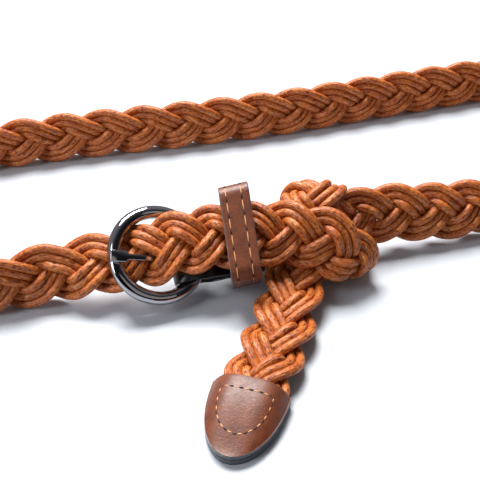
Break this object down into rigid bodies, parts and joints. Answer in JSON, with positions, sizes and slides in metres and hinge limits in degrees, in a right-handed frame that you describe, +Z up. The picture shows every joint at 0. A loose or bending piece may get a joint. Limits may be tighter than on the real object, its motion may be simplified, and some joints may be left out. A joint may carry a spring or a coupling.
{
  "type": "braided belt",
  "caption": "Braided cord belt standing on its edge as a fastened loop, with a ring and prong buckle, leather tab, keeper and tip, and its free end knotted round the strap.",
  "frame": {"origin": "middle of the underside of the belt's bounding box, on the surface that the belt stands on", "axes": "+X along the front strap from the ring towards the knot, +Y from the front strap to the back strap, +Z up along the belt's width"},
  "size_m": [0.394, 0.1768, 0.0367],
  "materials": {
    "cord": "waxed woven cotton",
    "metal": "polished gunmetal",
    "leather": "satin",
    "dark_leather": "satin"
  },
  "bodies": {
    "root": {"braid_strand_1": "cord", "braid_strand_2": "cord", "braid_strand_3": "cord", "buckle_ring": "metal", "prong": "metal", "tab": "dark_leather", "keeper_loop": "leather", "tip_base": "leather", "tip_top": "leather"}
  },
  "joints": []
}
